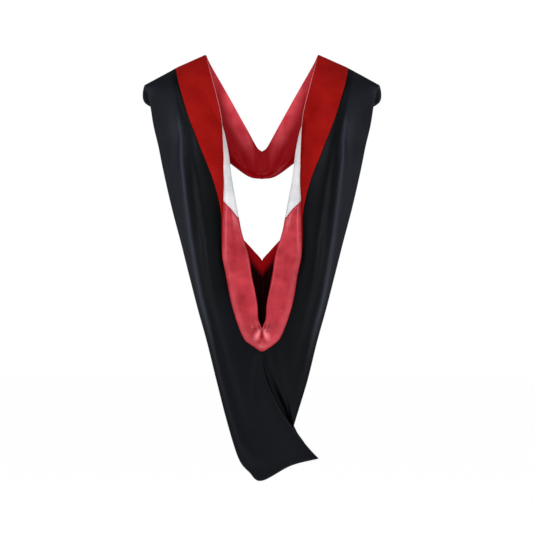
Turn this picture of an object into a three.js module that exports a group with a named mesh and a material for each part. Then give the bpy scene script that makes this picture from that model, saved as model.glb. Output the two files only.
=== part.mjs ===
// Academic hood: black shell, velvet edging and turned-out satin lining with a white chevron.
// Millimetres, +Z up. The origin is the middle of the neck, level with the shoulder peaks.
// +X is the wearer's right side seen from behind, and the wearer looks along +Y.
import * as THREE from 'three';

// Driving dimensions
const dropLength = 981;
const shoulderWidth = 547;
const bodyDepth = 100;
const backDepth = 140;
const shellWall = 1.2;
const velvetWall = 1.5;
const liningWall = 1.0;
const layerGap = 0.3;
const seamGap = 0.8;
const foldRadius = 6;
const rollHeight = 17;
const edgeLift = 5.5;
const flapWidth = 21;
const nearBulge = 22;
const bagDepth = 18;
const outerFoldGap = 5;
const openLip = 1.8;
// The roll is at its full height where edge and fold lie this many roll heights apart.
const fullRollSpan = 2.5;
// Shares of a step left free beside the outer fold, before it and after it
const nearFoldGap = 0.5;
const farFoldGap = 0.35;
// Share of the sideways tilt that the last row but one keeps
const endTilt = 0.3;

const halfWidth = shoulderWidth / 2;

// One row for each line of cloth that runs from the free edge to the neck edge.
// x is a share of halfWidth and z a share of dropLength. The depths are shares of bodyDepth
// in front (over 0) and of backDepth behind (under 0).
// edge: free edge, fold: turn of the cuff, seam: velvet to shell, outer: outer fold, neck: neck edge.
// turned: how far the cuff is folded over, bow: how far the line follows the curved spine.
const columnNames = [
  'edgeX', 'edgeZ', 'foldX', 'foldZ', 'seamX', 'seamZ', 'outerX', 'outerZ', 'neckX', 'neckZ',
  'edgeY', 'outerY', 'neckY', 'turned', 'bow', 'bulge', 'bag', 'lean',
];
const frontRows = [
  [0.000, -0.224, 0.000, -0.233, 0.000, -0.269, 0.000, -0.288, 0.000, -0.285,
    0.96, 1.00, 0.97, 0, 0, 0, 0, -1],
  [-0.046, -0.213, -0.052, -0.222, -0.092, -0.259, -0.113, -0.282, -0.111, -0.279,
    0.95, 0.98, 0.95, 0, 0, 0, 0, -1],
  [-0.126, -0.172, -0.146, -0.182, -0.234, -0.226, -0.280, -0.249, -0.274, -0.247,
    0.88, 0.90, 0.87, 0, 0, 0, 0, -1],
  [-0.227, -0.122, -0.261, -0.132, -0.398, -0.175, -0.496, -0.205, -0.489, -0.203,
    0.74, 0.78, 0.75, 0, 0, 0, 0, -1],
  [-0.336, -0.068, -0.378, -0.079, -0.541, -0.121, -0.706, -0.163, -0.699, -0.161,
    0.54, 0.60, 0.57, 0, 0, 0, 0, -1],
  [-0.412, -0.032, -0.462, -0.041, -0.637, -0.077, -0.891, -0.125, -0.883, -0.123,
    0.30, 0.41, 0.38, 0, 0, 0, 0, -0.9],
  [-0.450, -0.012, -0.500, -0.019, -0.697, -0.048, -0.996, -0.102, -0.986, -0.100,
    0.10, 0.20, 0.17, 0, 0, 0, 0, -0.6],
];
const shoulderRow = [
  -0.471, 0.000, -0.521, -0.007, -0.723, -0.030, -0.966, -0.068, -0.924, -0.063,
  0, 0, 0, 0, 0, 0, 0, 0,
];
const backRows = [
  [-0.426, -0.047, -0.479, -0.050, -0.704, -0.063, -0.950, -0.096, -0.891, -0.091,
    -0.33, -0.10, -0.04, 0, 0, 0.2, 0.1, 0.5],
  [-0.356, -0.124, -0.391, -0.128, -0.630, -0.134, -0.911, -0.162, -0.807, -0.152,
    -0.61, -0.26, -0.20, 0.2, 0, 0.5, 0.3, 0.85],
  [-0.336, -0.166, -0.334, -0.174, -0.567, -0.182, -0.868, -0.213, -0.723, -0.202,
    -0.71, -0.36, -0.32, 0.5, 0, 0.7, 0.5, 1],
  [-0.326, -0.225, -0.297, -0.227, -0.504, -0.227, -0.829, -0.267, -0.622, -0.253,
    -0.79, -0.46, -0.45, 0.68, 0, 0.9, 0.7, 1],
  [-0.317, -0.288, -0.252, -0.298, -0.408, -0.295, -0.758, -0.354, -0.496, -0.313,
    -0.86, -0.57, -0.55, 1, 0, 1, 0.9, 1],
  [-0.313, -0.342, -0.197, -0.381, -0.350, -0.368, -0.674, -0.443, -0.387, -0.354,
    -0.90, -0.66, -0.61, 1, 0, 1, 1, 1],
  [-0.318, -0.408, -0.172, -0.417, -0.346, -0.424, -0.606, -0.518, -0.286, -0.390,
    -0.94, -0.72, -0.65, 1, 0, 1, 1, 1],
  [-0.319, -0.469, -0.113, -0.470, -0.343, -0.478, -0.534, -0.596, -0.202, -0.419,
    -0.96, -0.78, -0.67, 1, 0, 0.9, 1, 1],
  [-0.288, -0.518, -0.082, -0.518, -0.282, -0.523, -0.457, -0.673, -0.134, -0.439,
    -0.98, -0.83, -0.68, 1, 0, 0.8, 1, 1],
  [-0.250, -0.577, -0.046, -0.563, -0.218, -0.572, -0.378, -0.762, -0.088, -0.453,
    -0.99, -0.87, -0.68, 1, 0, 0.6, 1, 1],
  [-0.199, -0.627, -0.034, -0.589, -0.155, -0.613, -0.288, -0.860, -0.056, -0.463,
    -1.00, -0.90, -0.68, 1, 0, 0.4, 1, 1],
  [-0.147, -0.664, -0.026, -0.612, -0.105, -0.637, -0.193, -0.944, -0.035, -0.469,
    -1.00, -0.91, -0.68, 1, 0.1, 0.3, 1, 1],
  [-0.098, -0.678, -0.020, -0.623, -0.066, -0.652, -0.102, -0.971, -0.020, -0.474,
    -1.00, -0.91, -0.68, 1, 0.3, 0.2, 0.8, 1],
  [-0.049, -0.688, -0.015, -0.632, -0.034, -0.661, -0.003, -0.996, -0.008, -0.478,
    -1.00, -0.91, -0.68, 1, 0.5, 0.15, 0.6, 1],
  [-0.022, -0.693, -0.008, -0.638, -0.016, -0.664, 0.240, -0.961, -0.005, -0.480,
    -1.00, -0.91, -0.68, 1, 0.8, 0.1, 0.5, 1],
  [0.000, -0.694, 0.000, -0.641, 0.000, -0.664, 0.474, -0.944, 0.000, -0.482,
    -1.00, -0.91, -0.68, 1, 1, 0, 0.5, 1],
];
// The right half ends on the spine, behind the flap of the left half: its last outer points.
const rightOuterEnd = [
  { outerX: -0.275, outerZ: -0.857, outerY: -0.86 },
  { outerX: -0.258, outerZ: -0.878, outerY: -0.80 },
  { outerX: -0.279, outerZ: -0.888, outerY: -0.76 },
  { outerX: -0.308, outerZ: -0.899, outerY: -0.73 },
  { outerX: -0.342, outerZ: -0.912, outerY: -0.72 },
  { outerX: -0.384, outerZ: -0.924, outerY: -0.72 },
];
// The spine from the bottom of the opening to the corner of the tail, as shares like the rows.
const spineCurve = [
  { x: 0.000, z: -0.664 },
  { x: 0.008, z: -0.727 },
  { x: 0.050, z: -0.774 },
  { x: 0.134, z: -0.821 },
  { x: 0.258, z: -0.875 },
  { x: 0.387, z: -0.919 },
  { x: 0.479, z: -0.946 },
];

// Columns of the cloth, counted from the free edge
const seamColumn = 10;
const nearSteps = 8;
const farSteps = 7;
const outerColumn = seamColumn + nearSteps + 1;
const lastColumn = outerColumn + 1 + farSteps;
const liningNearEnd = seamColumn + nearSteps;
const liningCuffEnd = seamColumn + 5;
const liningBackStart = outerColumn + 2;
// Shares of the velvet's width at which its columns lie where it is flat
const velvetShares = [0, 0.06, 0.12, 0.18, 0.24, 0.3, 0.36, 0.42, 0.6, 0.8, 1];
// Where its columns lie on the flap and between the hinge and the seam
const flapShares = [1, 0.82, 0.64, 0.46, 0.28, 0.13];
const hingeShares = [0.02, 0.13, 0.4, 0.7, 1];
// Heights of the turned-out roll between the free edge and the fold
const rollShares = [0, 0.22, 0.46, 0.7, 0.9];
const rollLifts = [0, 0.62, 0.97, 1, 0.9];
// Where its columns lie between the fold and the seam
const underShares = [0.33, 0.67];

const shoulderIndex = frontRows.length;
const chevronTop = shoulderIndex + 3;
const chevronBottom = shoulderIndex + 6;

function named(values) {
  const row = {};
  columnNames.forEach((name, i) => { row[name] = values[i]; });
  return row;
}

function rowsOf(side) {
  const rows = [...frontRows, shoulderRow, ...backRows].map(named);
  if (side > 0) {
    rightOuterEnd.forEach((end, i) => {
      const row = rows[rows.length - rightOuterEnd.length + i];
      Object.assign(row, end);
    });
  }
  return rows;
}

function depth(share) {
  return share > 0 ? share * bodyDepth : share * backDepth;
}

function place(x, z, depthShare) {
  return new THREE.Vector3(x * halfWidth, depth(depthShare), z * dropLength);
}

// Height share to sideways place on the spine, straight above its first point.
function spineX(z) {
  const zShare = z / dropLength;
  for (let i = 1; i < spineCurve.length; i += 1) {
    const above = spineCurve[i - 1];
    const below = spineCurve[i];
    if (zShare > above.z) return above.x * halfWidth;
    if (zShare >= below.z) {
      const t = (zShare - above.z) / (below.z - above.z);
      return (above.x + (below.x - above.x) * t) * halfWidth;
    }
  }
  return spineCurve[spineCurve.length - 1].x * halfWidth;
}

// How far the last row of a half leaves its chord, at a share of the way, to follow the spine.
function spineOffset(from, to, share, side) {
  const chord = from.clone().lerp(to, share);
  return -side * spineX(chord.z) - chord.x;
}

// A line of cloth between two key points, bent to the spine and bulged along the depth.
function clothLine(from, to, share, bend, bulge) {
  const point = from.clone().lerp(to, share);
  point.x += bend;
  point.y += bulge * Math.sin(Math.PI * share);
  return point;
}

// The velvet's columns where its edge begins to turn: a flap hinged on a line beside the edge.
function flapPoints(edge, seam, inward, angle) {
  const hinge = edge.clone().addScaledVector(inward, -flapWidth * Math.cos(angle));
  const across = inward.clone().multiplyScalar(Math.cos(angle));
  across.y -= Math.sin(angle);
  const onFlap = (share) => hinge.clone().addScaledVector(across, flapWidth * share);
  return [
    ...flapShares.map(onFlap),
    ...hingeShares.map((share) => hinge.clone().lerp(seam, share)),
  ];
}

// The velvet's columns where it is turned out: a soft roll over the fold, the rest under it.
function rollPoints(edge, fold, seam, inward) {
  const fullness = Math.min(1, edge.distanceTo(fold) / (fullRollSpan * rollHeight));
  const turn = (angle) => {
    const point = fold.clone().addScaledVector(inward, -foldRadius * (1 - Math.cos(angle)));
    point.y -= foldRadius * (1 + Math.sin(angle));
    return point;
  };
  const foldTop = turn(Math.PI / 3);
  const foldLow = turn(-Math.PI / 3);
  const rolled = rollShares.map((share, i) => {
    const point = edge.clone().lerp(foldTop, share);
    point.y -= (edgeLift + rollHeight * fullness * rollLifts[i]) * (1 - share);
    return point;
  });
  const under = underShares.map((share) => foldLow.clone().lerp(seam, share));
  return [...rolled, foldTop, turn(0), foldLow, ...under, seam];
}

function velvetPoints(row) {
  const edge = place(row.edgeX, row.edgeZ, row.edgeY);
  const seam = place(row.seamX, row.seamZ, row.edgeY);
  const fold = place(row.foldX, row.foldZ, row.edgeY);
  const inward = fold.clone().sub(seam).normalize();
  if (row.turned === 0) return velvetShares.map((share) => edge.clone().lerp(seam, share));
  if (row.turned < 1) return flapPoints(edge, seam, inward, row.turned * Math.PI);
  return rollPoints(edge, fold, seam, inward);
}

// The key points that a row shares with its neighbours
function rowKeys(row) {
  const outer = place(row.outerX, row.outerZ, row.outerY);
  const under = new THREE.Vector3(0, row.lean, -Math.sqrt(1 - row.lean * row.lean));
  return {
    seam: place(row.seamX, row.seamZ, row.edgeY),
    outer,
    outerInside: outer.clone().addScaledVector(under, outerFoldGap),
    neck: place(row.neckX, row.neckZ, row.neckY),
  };
}

// All points of one row of one half, from the free edge to the neck edge.
function rowPoints(row, side, lastKeys) {
  const points = velvetPoints(row);
  const keys = rowKeys(row);
  for (let i = 1; i <= nearSteps; i += 1) {
    const share = i / (nearSteps + nearFoldGap);
    const bend = row.bow * spineOffset(lastKeys.seam, lastKeys.outer, share, side);
    points.push(clothLine(keys.seam, keys.outer, share, bend, -nearBulge * row.bulge));
  }
  points.push(keys.outer);
  for (let i = 0; i <= farSteps; i += 1) {
    const share = (i + farFoldGap) / (farSteps + farFoldGap);
    const bend = row.bow * spineOffset(lastKeys.outerInside, lastKeys.neck, share, side);
    points.push(clothLine(keys.outerInside, keys.neck, share, bend, bagDepth * row.bag));
  }
  return points;
}

function mirrored(points, side) {
  return points.map((point) => new THREE.Vector3(side < 0 ? point.x : -point.x, point.y, point.z));
}

// The grid of one half and its outward directions, left half first.
function halfGrid(side) {
  const rows = rowsOf(side);
  const lastKeys = rowKeys(rows[rows.length - 1]);
  return rows.map((row) => mirrored(rowPoints(row, side, lastKeys), side));
}

function outwardDirections(grid, side) {
  const rowCount = grid.length;
  const columnCount = grid[0].length;
  return grid.map((line, i) => line.map((point, j) => {
    const down = grid[Math.min(i + 1, rowCount - 1)][j].clone().sub(grid[Math.max(i - 1, 0)][j]);
    const across = line[Math.min(j + 1, columnCount - 1)].clone().sub(line[Math.max(j - 1, 0)]);
    const normal = across.cross(down).multiplyScalar(-side).normalize();
    if (i === 0 || i === rowCount - 1) normal.x = 0;
    if (i === rowCount - 2) normal.x *= endTilt;
    return normal.normalize();
  }));
}

// A closed sheet of cloth over part of the grid, between two heights off the middle surface.
function sheet(grid, normals, side, area, low, high) {
  const { firstRow, lastRow, firstColumn, lastColumn: endColumn, inset } = area;
  const positions = [];
  const rowCount = lastRow - firstRow + 1;
  const columnCount = endColumn - firstColumn + 1;
  const pulled = (i, j) => {
    const point = grid[i][j].clone();
    const pull = (other, amount) => {
      const step = other.clone().sub(grid[i][j]);
      point.addScaledVector(step.normalize(), amount);
    };
    if (j === firstColumn && inset.start) pull(grid[i][j + 1], inset.start);
    if (j === endColumn && inset.end) pull(grid[i][j - 1], inset.end);
    if (i === firstRow && inset.top) pull(grid[i + 1][j], inset.top);
    if (i === lastRow && inset.bottom) pull(grid[i - 1][j], inset.bottom);
    return point;
  };
  for (const height of [low, high]) {
    for (let i = firstRow; i <= lastRow; i += 1) {
      for (let j = firstColumn; j <= endColumn; j += 1) {
        const point = pulled(i, j).addScaledVector(normals[i][j], height);
        positions.push(point.x, point.y, point.z);
      }
    }
  }
  const layer = rowCount * columnCount;
  const at = (i, j, top) => (top ? layer : 0) + i * columnCount + j;
  const triangles = [];
  const quad = (a, b, c, d) => triangles.push(a, b, c, a, c, d);
  for (let i = 0; i < rowCount - 1; i += 1) {
    for (let j = 0; j < columnCount - 1; j += 1) {
      quad(at(i, j, true), at(i, j + 1, true), at(i + 1, j + 1, true), at(i + 1, j, true));
      quad(at(i, j, false), at(i + 1, j, false), at(i + 1, j + 1, false), at(i, j + 1, false));
    }
  }
  const wall = (a, b) => quad(a, b, b + layer, a + layer);
  for (let j = 0; j < columnCount - 1; j += 1) {
    wall(at(0, j, false), at(0, j + 1, false));
    wall(at(rowCount - 1, j + 1, false), at(rowCount - 1, j, false));
  }
  for (let i = 0; i < rowCount - 1; i += 1) {
    wall(at(i + 1, 0, false), at(i, 0, false));
    wall(at(i, columnCount - 1, false), at(i + 1, columnCount - 1, false));
  }
  if (side > 0) {
    for (let i = 0; i < triangles.length; i += 3) {
      [triangles[i + 1], triangles[i + 2]] = [triangles[i + 2], triangles[i + 1]];
    }
  }
  const geometry = new THREE.BufferGeometry();
  geometry.setAttribute('position', new THREE.Float32BufferAttribute(positions, 3));
  geometry.setIndex(triangles);
  geometry.computeVertexNormals();
  return geometry;
}

function cloth(colour, roughness) {
  return new THREE.MeshStandardMaterial({ color: colour, roughness, metalness: 0 });
}

const blackCloth = () => cloth(0x22242a, 0.8);
const redVelvet = () => cloth(0x991a1a, 0.9);
const redSatin = () => cloth(0xb03a48, 0.35);
const whiteSatin = () => cloth(0xdcdde0, 0.35);

function piece(name, geometry, material) {
  const mesh = new THREE.Mesh(geometry, material);
  mesh.name = name;
  return mesh;
}

// The five kinds of cloth of one half.
function hoodHalf(side) {
  const word = side < 0 ? 'left' : 'right';
  const grid = halfGrid(side);
  const normals = outwardDirections(grid, side);
  const endRow = grid.length - 1;
  const half = layerGap / 2;
  const seam = seamGap / 2;
  const centre = { top: openLip / 2, bottom: openLip / 2 };
  const sewn = { top: seam, bottom: seam };
  const group = new THREE.Group();
  const add = (kind, area, low, high, material) => {
    group.add(piece(`${kind}_${word}`, sheet(grid, normals, side, area, low, high), material));
  };
  const shellArea = {
    firstRow: 0,
    lastRow: endRow,
    firstColumn: seamColumn,
    lastColumn,
    inset: { ...centre, start: seam },
  };
  add('shell', shellArea, half, half + shellWall, blackCloth());
  const velvetArea = {
    firstRow: 0,
    lastRow: endRow,
    firstColumn: 0,
    lastColumn: seamColumn,
    inset: { ...centre, end: seam },
  };
  add('velvet', velvetArea, half, half + velvetWall, redVelvet());
  const strip = (firstRow, lastRow, lastStripColumn, inset) => (
    { firstRow, lastRow, firstColumn: 0, lastColumn: lastStripColumn, inset }
  );
  const neckInset = { ...sewn, top: openLip / 2 };
  const neckArea = strip(0, chevronTop, liningNearEnd, neckInset);
  add('lining_neck', neckArea, -half - liningWall, -half, redSatin());
  const chevronArea = strip(chevronTop, chevronBottom, liningNearEnd, sewn);
  add('chevron', chevronArea, -half - liningWall, -half, whiteSatin());
  const cuffInset = { ...sewn, bottom: openLip / 2 };
  const cuffArea = strip(chevronBottom, endRow, liningCuffEnd, cuffInset);
  add('lining_cuff', cuffArea, -half - liningWall, -half, redSatin());
  const backArea = {
    firstRow: shoulderIndex + 2,
    lastRow: endRow,
    firstColumn: liningBackStart,
    lastColumn,
    inset: { ...sewn, bottom: openLip / 2 },
  };
  add('lining_back', backArea, -half - liningWall, -half, redSatin());
  return group;
}

const hood = new THREE.Group();
hood.add(hoodHalf(-1));
hood.add(hoodHalf(1));

export default hood;
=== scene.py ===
"""Academic hood as worn: black shell, velvet edge, turned-out satin lining and folded tail.

Metres, +Z up. The origin is the middle of the neck, level with the shoulder peaks, and the
wearer looks along +Y. Each half is one grid of cloth. Its rows go from the front centre over
the shoulder to the spine, and its columns from the free edge round the outer fold to the neck
edge. Every piece is a closed sheet over part of that grid.
"""
import math

import bpy
import numpy as np
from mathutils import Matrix, Vector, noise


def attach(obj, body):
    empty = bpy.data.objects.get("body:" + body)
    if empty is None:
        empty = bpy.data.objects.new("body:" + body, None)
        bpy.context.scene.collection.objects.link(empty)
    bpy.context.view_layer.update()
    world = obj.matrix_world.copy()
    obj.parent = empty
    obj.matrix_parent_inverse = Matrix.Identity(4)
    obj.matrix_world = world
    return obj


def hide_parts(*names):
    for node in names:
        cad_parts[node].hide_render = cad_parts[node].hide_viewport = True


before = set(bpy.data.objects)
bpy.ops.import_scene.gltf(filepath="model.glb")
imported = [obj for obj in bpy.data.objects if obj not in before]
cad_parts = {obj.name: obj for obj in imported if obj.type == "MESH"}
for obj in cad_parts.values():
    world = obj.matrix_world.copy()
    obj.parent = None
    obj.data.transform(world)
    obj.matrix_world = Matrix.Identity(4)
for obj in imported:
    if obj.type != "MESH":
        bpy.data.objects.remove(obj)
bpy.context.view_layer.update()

# Driving sizes, as in the model
DROP = 0.981
HALF_WIDTH = 0.2735
BODY_DEPTH = 0.100
BACK_DEPTH = 0.140
SHELL_WALL = 0.0012
VELVET_WALL = 0.0015
LINING_WALL = 0.0010
LAYER_GAP = 0.0003
FOLD_RADIUS = 0.006
ROLL_HEIGHT = 0.017
EDGE_LIFT = 0.0055
FLAP_WIDTH = 0.021
NEAR_BULGE = 0.022
BAG_DEPTH = 0.018
OUTER_FOLD_GAP = 0.005
# The roll is at its full height where edge and fold lie this many roll heights apart.
FULL_ROLL_SPAN = 2.5
# Shares of a step left free beside the outer fold, before it and after it
NEAR_FOLD_GAP = 0.5
FAR_FOLD_GAP = 0.35

# One row for each line of cloth that runs from the free edge to the neck edge.
# x is a share of HALF_WIDTH and z a share of DROP. The depths are shares of BODY_DEPTH in
# front (over 0) and of BACK_DEPTH behind (under 0).
# edge: free edge, fold: turn of the cuff, seam: velvet to shell, outer: outer fold, neck: neck
# edge.
# turned: how far the cuff is folded over, bow: how far the line follows the curved spine.
NAMES = [
    "edgeX", "edgeZ", "foldX", "foldZ", "seamX", "seamZ", "outerX", "outerZ", "neckX", "neckZ",
    "edgeY", "outerY", "neckY", "turned", "bow", "bulge", "bag", "lean",
]
ROWS = [
    [0.000, -0.224, 0.000, -0.233, 0.000, -0.269, 0.000, -0.288, 0.000, -0.285,
     0.96, 1.00, 0.97, 0, 0, 0, 0, -1],
    [-0.046, -0.213, -0.052, -0.222, -0.092, -0.259, -0.113, -0.282, -0.111, -0.279,
     0.95, 0.98, 0.95, 0, 0, 0, 0, -1],
    [-0.126, -0.172, -0.146, -0.182, -0.234, -0.226, -0.280, -0.249, -0.274, -0.247,
     0.88, 0.90, 0.87, 0, 0, 0, 0, -1],
    [-0.227, -0.122, -0.261, -0.132, -0.398, -0.175, -0.496, -0.205, -0.489, -0.203,
     0.74, 0.78, 0.75, 0, 0, 0, 0, -1],
    [-0.336, -0.068, -0.378, -0.079, -0.541, -0.121, -0.706, -0.163, -0.699, -0.161,
     0.54, 0.60, 0.57, 0, 0, 0, 0, -1],
    [-0.412, -0.032, -0.462, -0.041, -0.637, -0.077, -0.891, -0.125, -0.883, -0.123,
     0.30, 0.41, 0.38, 0, 0, 0, 0, -0.9],
    [-0.450, -0.012, -0.500, -0.019, -0.697, -0.048, -0.996, -0.102, -0.986, -0.100,
     0.10, 0.20, 0.17, 0, 0, 0, 0, -0.6],
    [-0.471, 0.000, -0.521, -0.007, -0.723, -0.030, -0.986, -0.070, -0.924, -0.063,
     0, 0, 0, 0, 0, 0, 0, 0],
    [-0.426, -0.047, -0.479, -0.050, -0.704, -0.063, -0.950, -0.096, -0.891, -0.091,
     -0.33, -0.10, -0.04, 0, 0, 0.2, 0.1, 0.5],
    [-0.356, -0.124, -0.391, -0.128, -0.630, -0.134, -0.911, -0.162, -0.807, -0.152,
     -0.61, -0.26, -0.20, 0.2, 0, 0.5, 0.3, 0.85],
    [-0.336, -0.166, -0.334, -0.174, -0.567, -0.182, -0.868, -0.213, -0.723, -0.202,
     -0.71, -0.36, -0.32, 0.5, 0, 0.7, 0.5, 1],
    [-0.326, -0.225, -0.297, -0.227, -0.504, -0.227, -0.829, -0.267, -0.622, -0.253,
     -0.79, -0.46, -0.45, 0.68, 0, 0.9, 0.7, 1],
    [-0.317, -0.288, -0.252, -0.298, -0.408, -0.295, -0.758, -0.354, -0.496, -0.313,
     -0.86, -0.57, -0.55, 1, 0, 1, 0.9, 1],
    [-0.313, -0.342, -0.197, -0.381, -0.345, -0.368, -0.674, -0.443, -0.387, -0.354,
     -0.90, -0.66, -0.61, 1, 0, 1, 1, 1],
    [-0.318, -0.408, -0.172, -0.417, -0.340, -0.424, -0.606, -0.518, -0.286, -0.390,
     -0.94, -0.72, -0.65, 1, 0, 1, 1, 1],
    [-0.319, -0.469, -0.116, -0.470, -0.331, -0.478, -0.534, -0.596, -0.202, -0.419,
     -0.96, -0.78, -0.67, 1, 0, 0.9, 1, 1],
    [-0.288, -0.518, -0.089, -0.518, -0.284, -0.523, -0.457, -0.673, -0.134, -0.439,
     -0.98, -0.83, -0.68, 1, 0, 0.8, 1, 1],
    [-0.250, -0.577, -0.055, -0.563, -0.218, -0.572, -0.378, -0.762, -0.088, -0.453,
     -0.99, -0.87, -0.68, 1, 0, 0.6, 1, 1],
    [-0.199, -0.627, -0.040, -0.589, -0.155, -0.613, -0.288, -0.860, -0.056, -0.463,
     -1.00, -0.90, -0.68, 1, 0, 0.4, 1, 1],
    [-0.147, -0.664, -0.036, -0.612, -0.105, -0.637, -0.193, -0.944, -0.035, -0.469,
     -1.00, -0.91, -0.68, 1, 0.1, 0.3, 1, 1],
    [-0.098, -0.678, -0.029, -0.623, -0.066, -0.652, -0.104, -0.976, -0.020, -0.474,
     -1.00, -0.91, -0.68, 1, 0.3, 0.2, 0.8, 1],
    [-0.049, -0.688, -0.019, -0.630, -0.034, -0.661, -0.003, -0.996, -0.008, -0.478,
     -1.00, -0.91, -0.68, 1, 0.5, 0.15, 0.6, 1],
    [-0.022, -0.693, -0.008, -0.638, -0.016, -0.664, 0.240, -0.961, -0.005, -0.480,
     -1.00, -0.91, -0.68, 1, 0.8, 0.1, 0.5, 1],
    [0.000, -0.694, 0.000, -0.641, 0.000, -0.664, 0.474, -0.944, 0.000, -0.482,
     -1.00, -0.91, -0.68, 1, 1, 0, 0.5, 1],
]
# The right half ends on the spine, behind the flap of the left half: x, z and depth of its
# last outer points
RIGHT_OUTER_END = [
    (-0.275, -0.857, -0.86), (-0.258, -0.878, -0.80), (-0.279, -0.888, -0.76),
    (-0.308, -0.899, -0.73), (-0.342, -0.912, -0.72), (-0.384, -0.924, -0.72),
]
# x and z of the spine from the bottom of the opening to the corner of the tail
SPINE = [
    (0.000, -0.664), (0.008, -0.727), (0.050, -0.774), (0.134, -0.821), (0.258, -0.875),
    (0.387, -0.919), (0.479, -0.946),
]

# Columns of the cloth, counted from the free edge
SEAM_COLUMN = 10
NEAR_STEPS = 8
FAR_STEPS = 7
OUTER_COLUMN = SEAM_COLUMN + NEAR_STEPS + 1
LAST_COLUMN = OUTER_COLUMN + 1 + FAR_STEPS
LINING_NEAR_END = SEAM_COLUMN + NEAR_STEPS
LINING_CUFF_END = SEAM_COLUMN + 5
LINING_BACK_START = OUTER_COLUMN + 2
# Shares of the velvet's width at which its columns lie where it is flat
VELVET_SHARES = [0, 0.06, 0.12, 0.18, 0.24, 0.3, 0.36, 0.42, 0.6, 0.8, 1]
# Where its columns lie on the flap and between the hinge and the seam
FLAP_SHARES = [1, 0.82, 0.64, 0.46, 0.28, 0.13]
HINGE_SHARES = [0.02, 0.13, 0.4, 0.7, 1]
# Heights of the turned-out roll between the free edge and the fold
ROLL_SHARES = [0, 0.22, 0.46, 0.7, 0.9]
ROLL_LIFTS = [0, 0.62, 0.97, 1, 0.9]
# Where its columns lie between the fold and the seam
UNDER_SHARES = [0.33, 0.67]

# Rows, counted from the front centre
SHOULDER_ROW = 7
CHEVRON_TOP = SHOULDER_ROW + 3
CHEVRON_BOTTOM = SHOULDER_ROW + 6
LAST_ROW = len(ROWS) - 1

# How much finer than the model's rows and columns the cloth is
FINE_ROWS = 8
FINE_COLUMNS = 5


# The model's cloth

def place(x, z, depth):
    y = depth * (BODY_DEPTH if depth > 0 else BACK_DEPTH)
    return np.array([x * HALF_WIDTH, y, z * DROP])


def rows_of(side):
    rows = [dict(zip(NAMES, values)) for values in ROWS]
    if side > 0:
        for row, (x, z, depth) in zip(rows[-len(RIGHT_OUTER_END):], RIGHT_OUTER_END):
            row["outerX"], row["outerZ"], row["outerY"] = x, z, depth
    return rows


def spine_x(z):
    heights = [-point[1] for point in SPINE]
    return np.interp(-z / DROP, heights, [point[0] for point in SPINE]) * HALF_WIDTH


def mix(a, b, share):
    return a + (b - a) * share


def flap_points(edge, seam, inward, angle):
    """The velvet's columns where its edge begins to turn: a flap hinged beside the edge."""
    hinge = edge - inward * FLAP_WIDTH * math.cos(angle)
    across = inward * math.cos(angle) - np.array([0, math.sin(angle), 0])
    flap = [hinge + across * FLAP_WIDTH * share for share in FLAP_SHARES]
    return flap + [mix(hinge, seam, share) for share in HINGE_SHARES]


def roll_points(edge, fold, seam, inward):
    """The velvet's columns where it is turned out: a soft roll, with the rest under it."""
    fullness = min(1, np.linalg.norm(edge - fold) / (FULL_ROLL_SPAN * ROLL_HEIGHT))

    def turn(angle):
        point = fold - inward * FOLD_RADIUS * (1 - math.cos(angle))
        point[1] -= FOLD_RADIUS * (1 + math.sin(angle))
        return point

    top, low = turn(math.pi / 3), turn(-math.pi / 3)
    rolled = []
    for share, lift in zip(ROLL_SHARES, ROLL_LIFTS):
        point = mix(edge, top, share)
        point[1] -= (EDGE_LIFT + ROLL_HEIGHT * fullness * lift) * (1 - share)
        rolled.append(point)
    under = [mix(low, seam, share) for share in UNDER_SHARES]
    return [*rolled, top, turn(0), low, *under, seam]


def velvet_points(row):
    edge = place(row["edgeX"], row["edgeZ"], row["edgeY"])
    seam = place(row["seamX"], row["seamZ"], row["edgeY"])
    fold = place(row["foldX"], row["foldZ"], row["edgeY"])
    inward = (fold - seam) / np.linalg.norm(fold - seam)
    if row["turned"] == 0:
        return [mix(edge, seam, share) for share in VELVET_SHARES]
    if row["turned"] < 1:
        return flap_points(edge, seam, inward, row["turned"] * math.pi)
    return roll_points(edge, fold, seam, inward)


def row_keys(row):
    """The key points that a row shares with its neighbours."""
    outer = place(row["outerX"], row["outerZ"], row["outerY"])
    under = np.array([0, row["lean"], -math.sqrt(1 - row["lean"] ** 2)])
    seam = place(row["seamX"], row["seamZ"], row["edgeY"])
    neck = place(row["neckX"], row["neckZ"], row["neckY"])
    return seam, outer, outer + under * OUTER_FOLD_GAP, neck


def cloth_line(start, end, share, row, last_start, last_end, bulge, side):
    """A point of a line of cloth, bent to the spine and bulged along the depth."""
    chord = mix(last_start, last_end, share)
    point = mix(start, end, share)
    point[0] += row["bow"] * (-side * spine_x(chord[2]) - chord[0])
    point[1] += bulge * math.sin(math.pi * share)
    return point


def key_grid(side):
    """The rows and columns of the model's cloth for one half."""
    rows = rows_of(side)
    last = row_keys(rows[-1])
    grid = []
    for row in rows:
        seam, outer, inside, neck = row_keys(row)
        points = velvet_points(row)
        for i in range(1, NEAR_STEPS + 1):
            share = i / (NEAR_STEPS + NEAR_FOLD_GAP)
            bulge = -NEAR_BULGE * row["bulge"]
            points.append(cloth_line(seam, outer, share, row, last[0], last[1], bulge, side))
        points.append(outer)
        for i in range(FAR_STEPS + 1):
            share = (i + FAR_FOLD_GAP) / (FAR_STEPS + FAR_FOLD_GAP)
            bulge = BAG_DEPTH * row["bag"]
            points.append(cloth_line(inside, neck, share, row, last[2], last[3], bulge, side))
        grid.append(points)
    grid = np.array(grid)
    if side > 0:
        grid[..., 0] *= -1
    return grid


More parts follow.
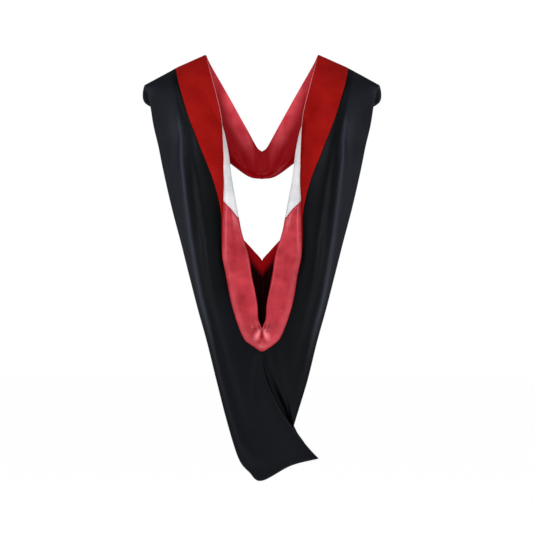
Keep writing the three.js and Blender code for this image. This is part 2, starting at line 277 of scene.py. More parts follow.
def finer(values, steps):
    """A smooth curve through the first axis of values, with steps between two neighbours."""
    before = np.concatenate([values[:1] * 2 - values[1:2], values[:-1]])
    after = np.concatenate([values[1:], values[-1:] * 2 - values[-2:-1]])
    slope = (after - before) / 2
    fine = []
    for i in range(len(values) - 1):
        for k in range(steps):
            t = k / steps
            fine.append(
                values[i] * (2 * t ** 3 - 3 * t ** 2 + 1) + slope[i] * (t ** 3 - 2 * t ** 2 + t)
                + values[i + 1] * (3 * t ** 2 - 2 * t ** 3) + slope[i + 1] * (t ** 3 - t ** 2)
            )
    fine.append(values[-1])
    return np.array(fine)


def fine_grid(side):
    fine = finer(key_grid(side), FINE_ROWS).transpose(1, 0, 2)
    return finer(fine, FINE_COLUMNS).transpose(1, 0, 2)


def directions(grid, side):
    """Outward at each point of the cloth, with no sideways part on the centre lines."""
    down = np.gradient(grid, axis=0)
    across = np.gradient(grid, axis=1)
    normal = np.cross(across, down) * -side
    normal[0, :, 0] = 0
    normal[-1, :, 0] = 0
    for k in range(1, FINE_ROWS):
        normal[-1 - k, :, 0] *= k / FINE_ROWS
    return normal / np.linalg.norm(normal, axis=2, keepdims=True)


# Folds of the hanging cloth

# Where the soft crease of the shell lies, as a share of the near layer, row by row
CREASE_ROWS = [8.5, 10, 12, 13, 15, 18]
CREASE_SHARES = [0.19, 0.35, 0.62, 0.72, 0.77, 0.80]
# The crease and the valleys beside it: height, distance from the crease and width. The last
# two are shares of the near layer.
CREASE_RIDGE = (0.0028, 0.0, 0.05)
INNER_VALLEY = (0.0036, -0.17, 0.10)
OUTER_VALLEY = (0.0016, 0.16, 0.09)
# Noise: cycles a metre along x, y and z, its shift between the halves and its shift in height
SHELL_NOISE = ((9, 6, 3.2), 4, 0)
SATIN_NOISE = ((30, 22, 13), 7, 3)
# Heights of the uneven places
SHELL_UNEVEN = 0.0016
CUFF_UNEVEN = 0.0022
FRONT_UNEVEN = 0.0025
# Spans over which folds grow (rise) and fade (fall): shares of the near layer, then rows
NEAR_RISE = (0.02, 0.15)
NEAR_FALL = (0.75, 0.98)
FOLD_RISE = (SHOULDER_ROW + 1, SHOULDER_ROW + 4)
FOLD_FALL = (LAST_ROW - 5, LAST_ROW - 0.5)
RIGHT_FOLD_FALL = (LAST_ROW - 8, LAST_ROW - 4)
VALLEY_RISE = (SHOULDER_ROW + 2, SHOULDER_ROW + 5)
FRONT_RISE = (0, 0.8)
FRONT_FALL = (SHOULDER_ROW - 2, SHOULDER_ROW)
TAIL_RISE = (LAST_ROW - 6, LAST_ROW - 3)
TAIL_FALL = (LAST_ROW - 0.6, LAST_ROW)
CUFF_RISE = (CHEVRON_TOP, CHEVRON_TOP + 2)
# The front's waves lie about this column, and fade this many columns away from it.
FRONT_MIDDLE_COLUMN = SEAM_COLUMN - 1
FRONT_SIDES = (6, 10)
# Columns over which the cuff's dents fade, first to half and then to nothing
CUFF_HALF_FALL = (4.4, 5)
CUFF_FALL = (SEAM_COLUMN - 5, SEAM_COLUMN - 3)
# Waves across the front and the tail: height, and phase a row and a column or near layer
FRONT_WAVE = (0.0022, 3.4, 0.5)
TAIL_WAVE = (0.0016, 2.2, 3)
# How far the left half is moved outward and the right half inward along the spine, and the
# rows, shares of the near layer and columns over which that grows and fades
FLAP_LIFT = 0.0016
FLAP_RISE = (LAST_ROW - 1.6, LAST_ROW)
FLAP_NEAR_RISE = (0.03, 0.2)
FLAP_FALL = (OUTER_COLUMN + 1, OUTER_COLUMN + 4)
# Rows and columns over which the inner layers of the halves are drawn together, and the depths
# down the spine between which they part again
BEHIND_ROWS = (LAST_ROW - 1.3, LAST_ROW)
BEHIND_COLUMNS = (OUTER_COLUMN + 1, OUTER_COLUMN + 3)
BEHIND_ENDS = (0.780, 0.850)


def ramp(values, start, end):
    """From 0 to 1 between two values, with soft ends."""
    t = np.clip((values - start) / (end - start), 0, 1)
    return t * t * (3 - 2 * t)


def band(values, rise, fall):
    """From 0 to 1 over the span rise, and back to 0 over the span fall."""
    return ramp(values, *rise) * (1 - ramp(values, *fall))


def rows_and_columns(grid):
    """Each point's row and column, counted in the model's rows and columns."""
    rows, columns = grid.shape[:2]
    return np.arange(rows)[:, None] / FINE_ROWS, np.arange(columns)[None, :] / FINE_COLUMNS


def near_share(u):
    """How far across the near layer a column lies, from its seam to the outer fold."""
    return (u - SEAM_COLUMN) / (NEAR_STEPS + 1)


def noise_over(grid, side, waves, side_shift, height_shift):
    values = np.zeros(grid.shape[:2])
    for i, line in enumerate(grid):
        for j, (x, y, z) in enumerate(line):
            spot = (x * waves[0] + side * side_shift, y * waves[1], z * waves[2] + height_shift)
            values[i, j] = noise.noise(Vector(spot))
    return values


def shell_folds(v, near, side):
    """The crease down the shell and the valleys beside it."""
    def fold(height, offset, width):
        return height * np.exp(-((near - crease - offset) / width) ** 2)

    crease = np.interp(v, CREASE_ROWS, CREASE_SHARES)
    back = band(v, FOLD_RISE, FOLD_FALL)
    if side > 0:
        back = back * (1 - ramp(v, *RIGHT_FOLD_FALL))
    valleys = ramp(v, *VALLEY_RISE) * (fold(*INNER_VALLEY) + fold(*OUTER_VALLEY))
    return back * (fold(*CREASE_RIDGE) - valleys)


def front_waves(v, u, satin_noise):
    """The waves of the front piece, which calm down toward its point and the shoulders."""
    height, a_row, a_column = FRONT_WAVE
    middle = 1 - ramp(np.abs(u - FRONT_MIDDLE_COLUMN), *FRONT_SIDES)
    wave = np.sin(v * a_row + u * a_column) * height + satin_noise * FRONT_UNEVEN
    return band(v, FRONT_RISE, FRONT_FALL) * middle * wave


def tail_waves(v, near):
    height, a_row, a_layer = TAIL_WAVE
    return band(v, TAIL_RISE, TAIL_FALL) * height * np.sin(v * a_row + near * a_layer)


def draped(grid, side):
    """The grid with the soft folds of the hanging cloth, along its outward direction."""
    v, u = rows_and_columns(grid)
    near = near_share(u)
    on_near = band(near, NEAR_RISE, NEAR_FALL)
    shell_noise = noise_over(grid, side, *SHELL_NOISE)
    satin_noise = noise_over(grid, side, *SATIN_NOISE)
    on_cuff = (1 - ramp(u, *CUFF_FALL)) * (1 - ramp(u, *CUFF_HALF_FALL) / 2)
    on_cuff = on_cuff * ramp(v, *CUFF_RISE)
    lift = on_near * (shell_folds(v, near, side) + SHELL_UNEVEN * shell_noise + tail_waves(v, near))
    lift = lift - CUFF_UNEVEN * on_cuff * satin_noise + front_waves(v, u, satin_noise)
    moved = grid + directions(grid, side) * lift[..., None]
    on_flap = ramp(v, *FLAP_RISE) * ramp(near, *FLAP_NEAR_RISE) * (1 - ramp(u, *FLAP_FALL))
    moved[..., 1] += side * FLAP_LIFT * on_flap
    return moved


def closed_behind(grid, other):
    """The left half's inner layer drawn to the right half's along the spine."""
    v, u = rows_and_columns(grid)
    far = other[-1, (OUTER_COLUMN + 1) * FINE_COLUMNS:]
    order = np.argsort(far[:, 2])
    wanted = np.interp(grid[..., 2], far[order, 2], far[order, 1])
    where = ramp(v, *BEHIND_ROWS) * ramp(u, *BEHIND_COLUMNS)
    where = where * (1 - ramp(-grid[..., 2], *BEHIND_ENDS))
    moved = grid.copy()
    moved[..., 1] += where * (wanted - grid[..., 1])
    return moved


# The turned-out edge and its puckers

# How far the turned-out edge is drawn toward the seam, and over which rows and columns
EDGE_DRAW = 0.0028
EDGE_RISE = (SHOULDER_ROW + 5, SHOULDER_ROW + 6)
EDGE_FALL = (LAST_ROW - 6, LAST_ROW - 3)
EDGE_COLUMNS = (0.3, 2.2)
# Rows and columns over which the puckers grow and fade
PUCKER_RISE = (LAST_ROW - 6, LAST_ROW - 4)
PUCKER_COLUMNS = (5.2, 6.2)
# Where the puckers lie, and how they slant
PUCKER_HEIGHT = -0.642
PUCKER_SLANT = 0.4
# The round fold on each side: distance from the middle, half width and half height
LOBE = (0.0092, 0.0050, 0.0105)
LOBE_LIFT = 0.0066
# Other bumps (hollows where under 0): lift, distance from the middle, height above the
# puckers, half width and half height
EDGE_BUMPS = [
    (-0.0042, 0.0, 0.0, 0.0042, 0.016),
    (-0.0030, 0.022, 0.004, 0.006, 0.016),
    (0.0026, 0.0, -0.027, 0.012, 0.006),
]
# Small wrinkles above them, in the same order, and how many run round the puckers
WRINKLES = (0.0024, 0.010, 0.016, 0.014, 0.012)
WRINKLE_COUNT = 13
# Painted highlight on the lobes and below them, the second with its own place and size
LOBE_HIGHLIGHT = 1.0
LOW_HIGHLIGHT = (0.3, 0.0, -0.027, 0.010, 0.005)


def bump_at(grid, side, x, z, width, height):
    """A round soft bump, from 0 to 1, at a place on the back of one half."""
    across = (side * grid[..., 0] - x) / width
    down = (grid[..., 2] - z) / height
    return np.exp(-across ** 2 - down ** 2)


def pucker_bump(grid, side, lift, x, above, width, height):
    return lift * bump_at(grid, side, x, PUCKER_HEIGHT + above, width, height)


def pucker_lobe(grid, side):
    """The round fold beside the middle, a little slanted."""
    slanted = grid.copy()
    slanted[..., 0] += side * PUCKER_SLANT * (grid[..., 2] - PUCKER_HEIGHT)
    x, width, height = LOBE
    return bump_at(slanted, side, x, PUCKER_HEIGHT, width, height)


def painted_pucker_highlight(grid, side):
    """Where a highlight is painted on the satin beside the puckers."""
    return LOBE_HIGHLIGHT * pucker_lobe(grid, side) + pucker_bump(grid, side, *LOW_HIGHLIGHT)


def gathered(grid, side):
    """The turned-out edge drawn thin, and its puckers at the bottom of the opening."""
    v, u = rows_and_columns(grid)
    moved = grid.copy()
    on_edge = band(v, EDGE_RISE, EDGE_FALL) * (1 - ramp(u, *EDGE_COLUMNS))
    moved[..., 0] += side * on_edge * EDGE_DRAW
    on_roll = (1 - ramp(u, *PUCKER_COLUMNS)) * ramp(v, *PUCKER_RISE)
    angle = np.arctan2(side * grid[..., 0], grid[..., 2] - PUCKER_HEIGHT)
    lift = LOBE_LIFT * pucker_lobe(grid, side)
    for bump in EDGE_BUMPS:
        lift = lift + pucker_bump(grid, side, *bump)
    lift = lift + pucker_bump(grid, side, *WRINKLES) * np.sin(angle * WRINKLE_COUNT)
    moved[..., 1] -= lift * on_roll
    return moved


# Sheets of cloth

# How far a sheet stays back from a seam, reaches past the centre line and, for the velvet,
# stays back from its free edge
SEAM_INSET = 0.00002
CENTRE_INSET = -0.0001
VELVET_INSET = 0.0018
# The rounding of a sheet's edges, and the share of its thickness that is left at the rim
EDGE_ROUNDING = 0.0022
RIM_SHARE = 0.35
# The painted highlight along an edge of the satin: its width, and the rows over which it begins
EDGE_HIGHLIGHT_WIDTH = 0.0032
EDGE_HIGHLIGHT_ROWS = (SHOULDER_ROW, SHOULDER_ROW + 1)
# The painted highlight on the crease: its width, as a share of the near layer, and its first rows
CREASE_HIGHLIGHT_WIDTH = 0.035
CREASE_HIGHLIGHT_RISE = (CREASE_ROWS[0], CREASE_ROWS[0] + 1)
# How much painted light the shell gets outside its crease, from where on, and the rows where that
# ends
OUTSIDE_LIGHT = 0.25
OUTSIDE_RISE = (-0.12, 0.06)
LIGHT_FALL = (CREASE_ROWS[-1] - 3, CREASE_ROWS[-1] - 1)
# How much painted light the left half's tail gets, where the right half's tail has none
TAIL_LIGHT = 0.06
# The shortest step between two points that has a direction
SHORTEST = 1e-9


def mark(mesh, name, values):
    """Stores a value for each point of a sheet, the same on both faces, for a material."""
    points = mesh.attributes.new(name, "FLOAT", "POINT")
    points.data.foreach_set("value", np.tile(values.ravel(), 2))


def painted_shell_light(v, u, side):
    """Where the shell gets painted light: a highlight on its crease, light outside it and on the
    left half's tail.
    """
    from_crease = near_share(u) - np.interp(v, CREASE_ROWS, CREASE_SHARES)
    line = np.exp(-(from_crease / CREASE_HIGHLIGHT_WIDTH) ** 2) * ramp(v, *CREASE_HIGHLIGHT_RISE)
    outside = OUTSIDE_LIGHT * ramp(from_crease, *OUTSIDE_RISE)
    upper = 1 - ramp(v, *LIGHT_FALL)
    light = np.maximum(line, outside) * upper
    if side < 0:
        light = np.maximum(light, TAIL_LIGHT * (1 - upper))
    return light


def inset_edges(part, start_inset):
    """Moves the outer rows and columns of part, in place, along the cloth."""
    for first, second in ((0, 1), (-1, -2)):
        for line, neighbour, inset in (
            (part[:, first], part[:, second], start_inset if first == 0 else SEAM_INSET),
            (part[first], part[second], CENTRE_INSET),
        ):
            step = neighbour - line
            reach = np.maximum(np.linalg.norm(step, axis=-1, keepdims=True), SHORTEST)
            line += step / reach * inset


def walked(part, axis):
    """Distance along the cloth from its first row (axis 0) or column (axis 1)."""
    steps = np.linalg.norm(np.diff(part, axis=axis), axis=2)
    return np.insert(np.cumsum(steps, axis=axis), 0, 0, axis=axis)


def thickness_shares(part, round_sides):
    """The share of its full thickness that a sheet has at each point, less at round edges."""
    from_start, from_top = walked(part, 1), walked(part, 0)
    distances = {
        "start": from_start,
        "end": from_start[:, -1:] - from_start,
        "top": from_top,
        "bottom": from_top[-1:, :] - from_top,
    }
    near_edge = np.full(part.shape[:2], 1.0)
    for name in round_sides:
        near_edge = np.minimum(near_edge, distances[name])
    round_share = np.sqrt(np.clip(1 - (1 - np.clip(near_edge / EDGE_ROUNDING, 0, 1)) ** 2, 0, 1))
    return RIM_SHARE + (1 - RIM_SHARE) * round_share


def closed_faces(rows, columns):
    """Quads of both faces and the rim of a sheet, whose lower points come first."""
    layer = rows * columns
    index = np.arange(layer).reshape(rows, columns)
    a, b, c, d = index[:-1, :-1], index[:-1, 1:], index[1:, 1:], index[1:, :-1]
    upper = np.stack([a, b, c, d], axis=-1).reshape(-1, 4) + layer
    lower = np.stack([a, d, c, b], axis=-1).reshape(-1, 4)
    loop = np.concatenate([index[0, :], index[1:, -1], index[-1, -2::-1], index[-2:0:-1, 0]])
    after = np.roll(loop, -1)
    rim = np.stack([loop, after, after + layer, loop + layer], axis=-1)
    return np.concatenate([upper, lower, rim]), len(upper) + len(lower)


def sheet_piece(name, grid, normal, area, span, side, round_sides, start_inset, marks):
    """A closed sheet over part of the grid, between two heights off its middle surface.

    area is the first and last row and column, span the two heights, and marks the names of
    the values that its material reads, each with a function of the part of the grid.
    """
    row_a, row_b, column_a, column_b = area
    part = grid[row_a:row_b + 1, column_a:column_b + 1].copy()
    out = normal[row_a:row_b + 1, column_a:column_b + 1]
    inset_edges(part, start_inset)
    middle = (span[0] + span[1]) / 2
    half = (span[1] - span[0]) / 2 * thickness_shares(part, round_sides)
    top = part + out * (middle + half)[..., None]
    bottom = part + out * (middle - half)[..., None]
    points = np.concatenate([bottom.reshape(-1, 3), top.reshape(-1, 3)])
    rows, columns = part.shape[:2]
    faces, on_face = closed_faces(rows, columns)
    if side > 0:
        faces = faces[:, ::-1]
    mesh = bpy.data.meshes.new(name)
    mesh.from_pydata(points.tolist(), [], faces.tolist())
    for polygon in mesh.polygons:
        polygon.use_smooth = polygon.index < on_face
    v = (row_a + np.arange(rows))[:, None] / FINE_ROWS
    u = (column_a + np.arange(columns))[None, :] / FINE_COLUMNS
    for mark_name, values in marks:
        mark(mesh, mark_name, values(part, v, u))
    piece = bpy.data.objects.new(name, mesh)
    bpy.context.scene.collection.objects.link(piece)
    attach(piece, "root")
    return piece


# Material nodes

# Where a cloud of noise begins and ends its change between two tones
CLOUD_ENDS = (0.3, 0.7)
# Scale of a wave texture for threads one metre apart
THREAD_SCALE = 0.16
# How many finer levels the noise of the creases has
CREASE_DETAIL = 4


def linear(red, green, blue):
    """A colour in screen values from 0 to 255, as linear light."""
    shares = [value / 255 for value in (red, green, blue)]
    return tuple(s / 12.92 if s <= 0.04045 else ((s + 0.055) / 1.055) ** 2.4 for s in shares)


def new_material(name, colour, roughness):
    material = bpy.data.materials.new(name)
    material.use_nodes = True
    nodes = material.node_tree.nodes
    shader = nodes["Principled BSDF"]
    shader.inputs["Base Color"].default_value = (*colour, 1)
    shader.inputs["Roughness"].default_value = roughness
    return material, nodes, material.node_tree.links, shader


def set_inputs(node, values):
    for name, value in values.items():
        node.inputs[name].default_value = value


def math_node(nodes, links, operation, *values):
    """The result of an operation on sockets and plain numbers."""
    node = nodes.new("ShaderNodeMath")
    node.operation = operation
    for socket, value in zip(node.inputs, values):
        if isinstance(value, (int, float)):
            socket.default_value = value
        else:
            links.new(value, socket)
    return node.outputs[0]


def mixed_colour(nodes, links, share, first, second):
    """A colour between two, each a socket or a plain colour."""
    node = nodes.new("ShaderNodeMix")
    node.data_type = "RGBA"
    colour_inputs = [socket for socket in node.inputs if socket.type == "RGBA"]
    for socket, value in zip(colour_inputs, (first, second)):
        if isinstance(value, tuple):
            socket.default_value = (*value, 1)
        else:
            links.new(value, socket)
    links.new(share, node.inputs[0])
    return [socket for socket in node.outputs if socket.type == "RGBA"][0]


def marked(nodes, name):
    """The value that the mesh stores under this name."""
    node = nodes.new("ShaderNodeAttribute")
    node.attribute_name = name
    return node.outputs["Fac"]


def cloud(nodes, links, place_node, scale, detail):
    node = nodes.new("ShaderNodeTexNoise")
    set_inputs(node, {"Scale": scale, "Detail": detail})
    links.new(place_node.outputs["Object"], node.inputs["Vector"])
    return node.outputs["Fac"]


def varied(nodes, links, dark, light, scale, detail=3.0):
    """A colour that drifts between two close tones, and the node of its coordinates."""
    place_node = nodes.new("ShaderNodeTexCoord")
    tones = nodes.new("ShaderNodeValToRGB")
    for element, spot, colour in zip(tones.color_ramp.elements, CLOUD_ENDS, (dark, light)):
        element.position = spot
        element.color = (*colour, 1)
    links.new(cloud(nodes, links, place_node, scale, detail), tones.inputs["Fac"])
    return tones.outputs["Color"], place_node


def weave(nodes, links, shader, place_node, pitch, strength, depth):
    """Fine crossed threads as bump."""
    threads = []
    for axis in ("X", "Z"):
        wave = nodes.new("ShaderNodeTexWave")
        wave.bands_direction = axis
        wave.inputs["Scale"].default_value = THREAD_SCALE / pitch
        links.new(place_node.outputs["Object"], wave.inputs["Vector"])
        threads.append(wave.outputs["Fac"])
    bump = nodes.new("ShaderNodeBump")
    set_inputs(bump, {"Strength": strength, "Distance": depth})
    links.new(math_node(nodes, links, "ADD", *threads), bump.inputs["Height"])
    links.new(bump.outputs["Normal"], shader.inputs["Normal"])
    return bump


def creases(nodes, links, bump, place_node, scale, strength, depth):
    """Shallow irregular creases below the weave."""
    soft = nodes.new("ShaderNodeBump")
    set_inputs(soft, {"Strength": strength, "Distance": depth})
    links.new(cloud(nodes, links, place_node, scale, CREASE_DETAIL), soft.inputs["Height"])
    links.new(soft.outputs["Normal"], bump.inputs["Normal"])


# Materials

# Half width of the front piece, over which its painted light and shade change, and where they
# change
NECK_HALF = 0.13
NECK_PAINTED_LIGHT = [(0.12, 0.04), (0.36, 1.0), (0.60, 1.0), (0.76, 0.35)]
NECK_END_PAINTED_LIGHT = 0.1
# The free edge of the front: its height at the middle and how steeply it climbs
FREE_EDGE_MIDDLE = -0.22
FREE_EDGE_SLOPE = 1.705
# Depths below the free edge between which the painted lit band fades
LIT_BAND = (0.015, 0.085)
# Heights at the middle between which the satin inside the bag goes from painted shade to
# bright, and how steeply both climb to the sides
SHADE_BOTTOM = -0.513
SHADE_TOP = -0.493
NECK_EDGE_SLOPE = 1.23
PINK_SHINE = (1, 0.46, 0.52, 1)
WHITE_SHINE = (1, 1, 1, 1)


def black_cloth():
    material, nodes, links, shader = new_material("black_cloth", linear(10, 11, 13), roughness=0.4)
    tone, place_node = varied(nodes, links, linear(3, 4, 4), linear(9, 10, 11), scale=7)
    # The marked places get painted light and a painted highlight, in a pale blue grey
    shell_with_painted_light = mixed_colour(nodes, links, marked(nodes, "crease"), tone, linear(40, 43, 53))
    links.new(shell_with_painted_light, shader.inputs["Base Color"])
    bump = weave(nodes, links, shader, place_node, pitch=0.0007, strength=0.25, depth=0.0002)
    creases(nodes, links, bump, place_node, scale=18, strength=0.35, depth=0.003)
    set_inputs(shader, {"Specular IOR Level": 0.1, "Specular Tint": (0.76, 0.84, 1, 1)})
    return material


def red_velvet():
    material, nodes, links, shader = new_material("red_velvet", linear(150, 16, 14), roughness=0.95)
    tone, place_node = varied(nodes, links, linear(132, 13, 11), linear(150, 20, 18), scale=22)
    links.new(tone, shader.inputs["Base Color"])
    bump = weave(nodes, links, shader, place_node, pitch=0.0004, strength=0.1, depth=0.0002)
    creases(nodes, links, bump, place_node, scale=600, strength=0.3, depth=0.0006)
    set_inputs(shader, {
        "Specular IOR Level": 0.12,
        "Specular Tint": (1, 0.3, 0.25, 1),
        "Sheen Weight": 0.12,
        "Sheen Roughness": 0.35,
        "Sheen Tint": (0.9, 0.15, 0.1, 1),
    })
    return material


def satin(name, dark, light, shine, painted_highlight, roughness=0.36, specular=0.7, shaded=None):
    """Mottled shiny satin, with a painted highlight where the mesh marks one."""
    material, nodes, links, shader = new_material(name, light, roughness)
    tone, place_node = varied(nodes, links, dark, light, scale=26, detail=5.0)
    if shaded:
        tone = shaded(nodes, links, place_node, tone)
    lined = mixed_colour(nodes, links, marked(nodes, "painted_highlight"), tone, painted_highlight)
    links.new(lined, shader.inputs["Base Color"])
    bump = weave(nodes, links, shader, place_node, pitch=0.0005, strength=0.06, depth=0.0001)
    creases(nodes, links, bump, place_node, scale=40, strength=0.5, depth=0.003)
    set_inputs(shader, {"Specular IOR Level": specular, "Specular Tint": shine})
    return material


def side_and_height(nodes, links, place_node):
    """How far a point lies from the middle, and its height."""
    split = nodes.new("ShaderNodeSeparateXYZ")
    links.new(place_node.outputs["Object"], split.inputs[0])
    return math_node(nodes, links, "ABSOLUTE", split.outputs["X"]), split.outputs["Z"]


def painted_neck_light_and_shade(nodes, links, place_node, tone):
    """Painted light in a band below the front's free edge, and painted shade at its middle."""
    aside, height = side_and_height(nodes, links, place_node)
    sideways = nodes.new("ShaderNodeValToRGB")
    stops = sideways.color_ramp.elements
    stops[0].color = (0, 0, 0, 1)
    stops[1].color = (NECK_END_PAINTED_LIGHT, NECK_END_PAINTED_LIGHT, NECK_END_PAINTED_LIGHT, 1)
    for spot, light in NECK_PAINTED_LIGHT:
        stops.new(spot).color = (light, light, light, 1)
    links.new(math_node(nodes, links, "DIVIDE", aside, NECK_HALF), sideways.inputs["Fac"])
    edge = math_node(nodes, links, "MULTIPLY_ADD", aside, FREE_EDGE_SLOPE, FREE_EDGE_MIDDLE)
    below = nodes.new("ShaderNodeMapRange")
    below.interpolation_type = "SMOOTHSTEP"
    set_inputs(below, {
        "From Min": LIT_BAND[0], "From Max": LIT_BAND[1], "To Min": 1.0, "To Max": 0.0,
    })
    links.new(math_node(nodes, links, "SUBTRACT", edge, height), below.inputs["Value"])
    lit = math_node(nodes, links, "MULTIPLY", below.outputs["Result"], sideways.outputs["Color"])
    # Painted shade at the middle of the front, in a dark red
    return mixed_colour(nodes, links, lit, linear(142, 0, 8), tone)


def shaded_satin():
    """The red satin inside the bag, in painted shade from a little below the neck edge down."""
    material, nodes, links, shader = new_material("shaded_satin", linear(40, 2, 5), roughness=0.5)
    set_inputs(shader, {"Specular IOR Level": 0.1, "Specular Tint": (1, 0.3, 0.3, 1)})
    aside, height = side_and_height(nodes, links, nodes.new("ShaderNodeTexCoord"))
    depth = nodes.new("ShaderNodeMapRange")
    set_inputs(depth, {"From Min": SHADE_BOTTOM, "From Max": SHADE_TOP})
    tones = nodes.new("ShaderNodeValToRGB")
    tones.color_ramp.elements[0].color = (*linear(24, 1, 3), 1)
    tones.color_ramp.elements[1].color = (*linear(160, 8, 18), 1)
    slanted = math_node(nodes, links, "MULTIPLY_ADD", aside, -NECK_EDGE_SLOPE, height)
    links.new(slanted, depth.inputs["Value"])
    links.new(depth.outputs["Result"], tones.inputs["Fac"])
    links.new(tones.outputs["Color"], shader.inputs["Base Color"])
    return material


BLACK = black_cloth()
VELVET = red_velvet()
# The last colour of each satin is its painted highlight
RED_SATIN = satin(
    "red_satin", linear(138, 16, 28), linear(190, 54, 66), PINK_SHINE, linear(236, 122, 130),
)
# The red satin of the front in lighter tones, as painted light, with its painted shade
NECK_SATIN = satin(
    "neck_satin", linear(216, 56, 70), linear(252, 98, 110), PINK_SHINE, linear(226, 150, 150),
    specular=0.25, shaded=painted_neck_light_and_shade,
)
WHITE_SATIN = satin(
    "white_satin", linear(182, 183, 187), linear(214, 214, 217), WHITE_SHINE,
    linear(214, 168, 165), roughness=0.42,
)
SHADED_SATIN = shaded_satin()


# The cloth of both halves

# Share of its width by which the neck lining is narrower at the shoulders
SHOULDER_DRAW = 0.16
# How far it stands off and hangs down at the front to cover the hem, and over which columns
HEM_COVER = 0.0072
HEM_DROP = 0.0022
HEM_COLUMNS = (13.5, 17.5)
# Rows over which the narrowing grows, and over which the cover fades
DRAW_ROWS = (SHOULDER_ROW - 3, SHOULDER_ROW - 1.2)
COVER_FALL = (SHOULDER_ROW - 4, SHOULDER_ROW - 2)
# Heights of each kind of cloth off the middle surface
OUTSIDE = (LAYER_GAP / 2, LAYER_GAP / 2 + SHELL_WALL)
PILE = (LAYER_GAP / 2, LAYER_GAP / 2 + VELVET_WALL)
INSIDE = (-LAYER_GAP / 2 - LINING_WALL, -LAYER_GAP / 2)
# Each piece of a half: rows, columns, heights, material, slot and the sides with round edges
PLANS = {
    "shell": (
        (0, LAST_ROW), (SEAM_COLUMN, LAST_COLUMN), OUTSIDE, BLACK, "shell", ["start", "end"],
    ),
    "velvet": ((0, LAST_ROW), (0, SEAM_COLUMN), PILE, VELVET, "velvet", ["start", "end"]),
    "lining_neck": (
        (0, CHEVRON_TOP), (0, LINING_NEAR_END), INSIDE, NECK_SATIN, "red_satin",
        ["start", "end", "bottom"],
    ),
    "chevron": (
        (CHEVRON_TOP, CHEVRON_BOTTOM), (0, LINING_NEAR_END), INSIDE, WHITE_SATIN, "white_satin",
        ["start", "end", "top", "bottom"],
    ),
    "lining_cuff": (
        (CHEVRON_BOTTOM, LAST_ROW), (0, LINING_CUFF_END), INSIDE, RED_SATIN, "red_satin",
        ["start", "end", "top"],
    ),
    "lining_back": (
        (SHOULDER_ROW + 2, LAST_ROW), (LINING_BACK_START, LAST_COLUMN), INSIDE, SHADED_SATIN,
        "red_satin", ["start", "end", "top"],
    ),
}


def narrowed(grid, normal):
    """The neck lining's grid, drawn in at the shoulders and standing off at the front hem."""
    end_column = LINING_NEAR_END * FINE_COLUMNS
    columns = np.arange(end_column + 1)
    over_hem = ramp(columns / FINE_COLUMNS, *HEM_COLUMNS)
    out_grid, out_normal = grid.copy(), normal.copy()
    for i in range(grid.shape[0]):
        v = i / FINE_ROWS
        share = 1 - SHOULDER_DRAW * ramp(v, *DRAW_ROWS)
        for source, target in ((grid, out_grid), (normal, out_normal)):
            line = source[i, :end_column + 1]
            for k in range(3):
                target[i, :end_column + 1, k] = np.interp(columns * share, columns, line[:, k])
        cover = (1 - ramp(v, *COVER_FALL)) * over_hem
        out_grid[i, :end_column + 1, 1] -= cover * HEM_COVER
        out_grid[i, :end_column + 1, 2] -= cover * HEM_DROP
    return out_grid, out_normal


def marks_of(kind, grid, area, side):
    """What the material of a piece reads from its mesh."""
    def painted_highlight(part, v, u):
        across = ramp(walked(part, 1), EDGE_HIGHLIGHT_WIDTH / 2, EDGE_HIGHLIGHT_WIDTH)
        return (1 - across) * ramp(v, *EDGE_HIGHLIGHT_ROWS)

    def pucker_highlight_mask(part, v, u):
        row_a, row_b, column_a, column_b = area
        return painted_pucker_highlight(grid, side)[row_a:row_b + 1, column_a:column_b + 1]

    # The shell's painted light is stored under the name crease
    if kind == "shell":
        return [("crease", lambda part, v, u: painted_shell_light(v, u, side))]
    # The front lining and the chevron get a painted highlight along their edge
    if kind in ("lining_neck", "chevron"):
        return [("painted_highlight", painted_highlight)]
    # The cuff's painted highlight lies on the lobes beside the puckers
    if kind == "lining_cuff":
        return [("painted_highlight", pucker_highlight_mask)]
    return []


def hood_half(side):
    word = "left" if side < 0 else "right"
    grid = fine_grid(side)
    if side < 0:
        grid = closed_behind(grid, fine_grid(1))
    smooth_grid = draped(grid, side)
    grid = gathered(smooth_grid, side)
    normal = directions(grid, side)
    pieces = {}
    for kind, (rows, columns, span, material, slot, round_sides) in PLANS.items():
        name = f"{kind}_{word}"
        area = (*(row * FINE_ROWS for row in rows), *(column * FINE_COLUMNS for column in columns))
        shape = narrowed(grid, normal) if kind == "lining_neck" else (grid, normal)
        start_inset = VELVET_INSET if kind == "velvet" else SEAM_INSET
        marks = marks_of(kind, smooth_grid, area, side)
        piece = sheet_piece(
            f"{name}_cloth", *shape, area, span, side, round_sides, start_inset, marks,
        )
        piece.data.materials.append(material)
        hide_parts(name)
        pieces[kind] = piece
    return pieces


halves = [hood_half(-1), hood_half(1)]


# Floor, light and camera

PHOTO_WIDTH = 533
PIXEL_SIZE = 0.0023
CAMERA_DISTANCE = 20.0
CAMERA_REACH = 100
SENSOR_WIDTH = 36.0
SUBJECT_DEPTH = 0.07
VIEW_CENTRE = (0.0104, -0.4865)
FLOOR_HEIGHT = -1.25
FLOOR_HALF = 40.0
FLOOR_GLOW = 0.8
WORLD_LIGHT = 0.2
# Name, place, target, size and power of each light
LIGHTS = [
    ("key", (-0.5, -2.6, 1.5), (0, 0, -0.35), (1.0, 1.0), 36),
    ("side_left", (-2.2, -1.1, 0.3), (0, 0, -0.4), (0.5, 1.4), 22),
    ("side_right", (2.2, -1.1, 0.3), (0, 0, -0.4), (0.5, 1.4), 22),
]


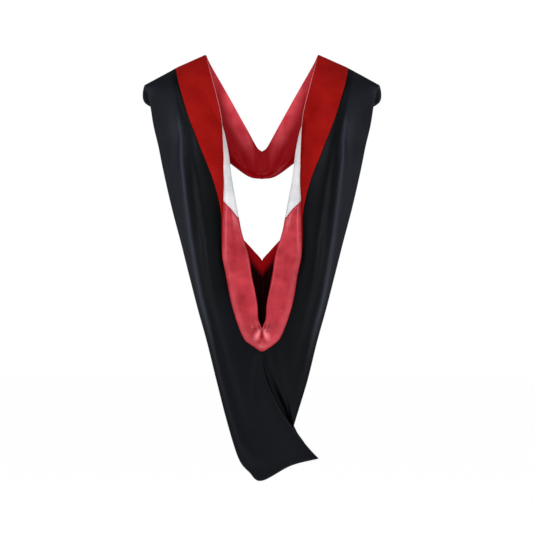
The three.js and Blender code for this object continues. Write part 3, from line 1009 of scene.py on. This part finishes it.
def pale_floor():
    corners = [
        (x * FLOOR_HALF, y * FLOOR_HALF, FLOOR_HEIGHT)
        for x, y in ((-1, -1), (1, -1), (1, 1), (-1, 1))
    ]
    mesh = bpy.data.meshes.new("floor")
    mesh.from_pydata(corners, [], [(0, 1, 2, 3)])
    floor = bpy.data.objects.new("floor", mesh)
    bpy.context.scene.collection.objects.link(floor)
    material, _, _, shader = new_material("pale_floor", (0.95, 0.95, 0.95), roughness=0.9)
    set_inputs(shader, {"Emission Color": (1, 1, 1, 1), "Emission Strength": FLOOR_GLOW})
    mesh.materials.append(material)


def studio_world():
    """A backdrop that is seen as plain white, while the cloth gets less light from it."""
    world = bpy.data.worlds.new("studio")
    bpy.context.scene.world = world
    world.use_nodes = True
    nodes, links = world.node_tree.nodes, world.node_tree.links
    backdrop = nodes.new("ShaderNodeBackground")
    for node, strength in ((nodes["Background"], WORLD_LIGHT), (backdrop, 1.0)):
        set_inputs(node, {"Color": (1, 1, 1, 1), "Strength": strength})
    either = nodes.new("ShaderNodeMixShader")
    links.new(nodes.new("ShaderNodeLightPath").outputs["Is Camera Ray"], either.inputs[0])
    links.new(nodes["Background"].outputs[0], either.inputs[1])
    links.new(backdrop.outputs[0], either.inputs[2])
    links.new(either.outputs[0], nodes["World Output"].inputs["Surface"])


def area_light(name, spot, target, size, power):
    data = bpy.data.lights.new(name, "AREA")
    data.shape = "RECTANGLE"
    data.size, data.size_y = size
    data.energy = power
    light = bpy.data.objects.new(name, data)
    light.location = spot
    light.rotation_euler = (Vector(target) - Vector(spot)).to_track_quat("-Z", "Y").to_euler()
    bpy.context.scene.collection.objects.link(light)


def photo_camera():
    """A long lens straight behind the wearer, framed as in the photo."""
    data = bpy.data.cameras.new("camera")
    data.sensor_width = SENSOR_WIDTH
    data.lens = SENSOR_WIDTH * (CAMERA_DISTANCE - SUBJECT_DEPTH) / (PHOTO_WIDTH * PIXEL_SIZE)
    data.clip_end = CAMERA_REACH
    camera = bpy.data.objects.new("camera", data)
    camera.location = (VIEW_CENTRE[0], -CAMERA_DISTANCE, VIEW_CENTRE[1])
    camera.rotation_euler = (math.radians(90), 0, 0)
    bpy.context.scene.collection.objects.link(camera)
    bpy.context.scene.camera = camera


pale_floor()
studio_world()
for light_values in LIGHTS:
    area_light(*light_values)
photo_camera()
bpy.context.scene.view_settings.view_transform = "Standard"
